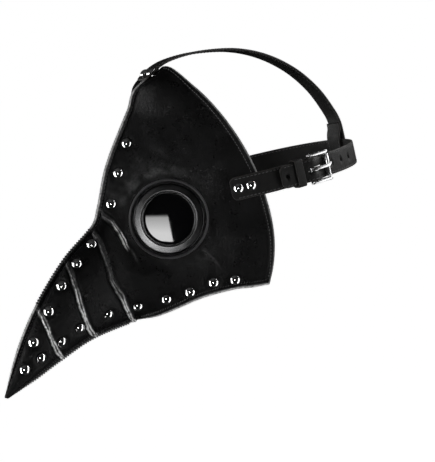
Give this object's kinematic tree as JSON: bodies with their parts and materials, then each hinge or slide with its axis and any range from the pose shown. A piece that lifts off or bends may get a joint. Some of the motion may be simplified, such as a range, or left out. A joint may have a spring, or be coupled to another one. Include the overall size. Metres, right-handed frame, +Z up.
{
  "type": "plague doctor mask",
  "caption": "Long-beaked leather face mask of two riveted, tucked side panels with round dark lenses in metal bezels and a buckled head harness.",
  "frame": {"origin": "midway between the wearer's pupils, where the head meets the mask", "axes": "+X towards the wearer's left, -Y forward along the beak, +Z up the wearer's face"},
  "size_m": [0.1625, 0.379, 0.2406],
  "materials": {
    "panel_leather": "soft semi-gloss black",
    "strap_leather": "matt black, waxed edges",
    "bezel_metal": "satin gunmetal",
    "rivet_metal": "bright nickel plate",
    "buckle_metal": "nickel plate",
    "dark_lens": "polished, near black"
  },
  "bodies": {
    "mask": {"panel_left": "panel_leather", "eye_welt_left": "panel_leather", "eye_bezel_left": "bezel_metal", "eye_back_ring_left": "bezel_metal", "eye_lens_left": "dark_lens", "panel_right": "panel_leather", "eye_welt_right": "panel_leather", "eye_bezel_right": "bezel_metal", "eye_back_ring_right": "bezel_metal", "eye_lens_right": "dark_lens", "rivet_left_1": "rivet_metal", "rivet_left_2": "rivet_metal", "rivet_left_3": "rivet_metal", "rivet_left_4": "rivet_metal", "rivet_left_5": "rivet_metal", "rivet_left_6": "rivet_metal", "rivet_left_7": "rivet_metal", "rivet_left_8": "rivet_metal", "rivet_left_9": "rivet_metal", "rivet_left_10": "rivet_metal", "rivet_left_11": "rivet_metal", "rivet_left_12": "rivet_metal", "rivet_left_13": "rivet_metal", "rivet_left_14": "rivet_metal", "rivet_left_15": "rivet_metal", "rivet_left_16": "rivet_metal", "rivet_left_17": "rivet_metal", "rivet_left_18": "rivet_metal", "strap_rivet_left_1": "rivet_metal", "strap_rivet_left_2": "rivet_metal", "crown_rivet_left": "rivet_metal", "rivet_right_1": "rivet_metal", "rivet_right_2": "rivet_metal", "rivet_right_3": "rivet_metal", "rivet_right_4": "rivet_metal", "rivet_right_5": "rivet_metal", "rivet_right_6": "rivet_metal", "rivet_right_7": "rivet_metal", "rivet_right_8": "rivet_metal", "rivet_right_9": "rivet_metal", "rivet_right_10": "rivet_metal", "rivet_right_11": "rivet_metal", "rivet_right_12": "rivet_metal", "rivet_right_13": "rivet_metal", "rivet_right_14": "rivet_metal", "rivet_right_15": "rivet_metal", "rivet_right_16": "rivet_metal", "rivet_right_17": "rivet_metal", "rivet_right_18": "rivet_metal", "strap_rivet_right_1": "rivet_metal", "strap_rivet_right_2": "rivet_metal", "crown_rivet_right": "rivet_metal", "back_strap_left": "strap_leather", "back_strap_right": "strap_leather", "crown_strap": "strap_leather", "buckle_frame": "buckle_metal"},
    "prong": {"buckle_prong": "buckle_metal"},
    "roller": {"buckle_roller": "buckle_metal"},
    "keeper": {"strap_keeper": "strap_leather"}
  },
  "joints": [
    {"name": "prong_swing", "type": "hinge", "parent": "mask", "child": "prong", "pos_m": [0.0794, 0.096, 0.012], "axis": [0, 0, -1], "range_deg": [0, 80]},
    {"name": "roller_spin", "type": "hinge", "parent": "mask", "child": "roller", "pos_m": [0.0794, 0.113, 0.012], "axis": [0, 0, 1], "continuous": true},
    {"name": "keeper_slide", "type": "slide", "parent": "mask", "child": "keeper", "axis": [0, 1, 0], "range_m": [-0.006, 0]}
  ]
}
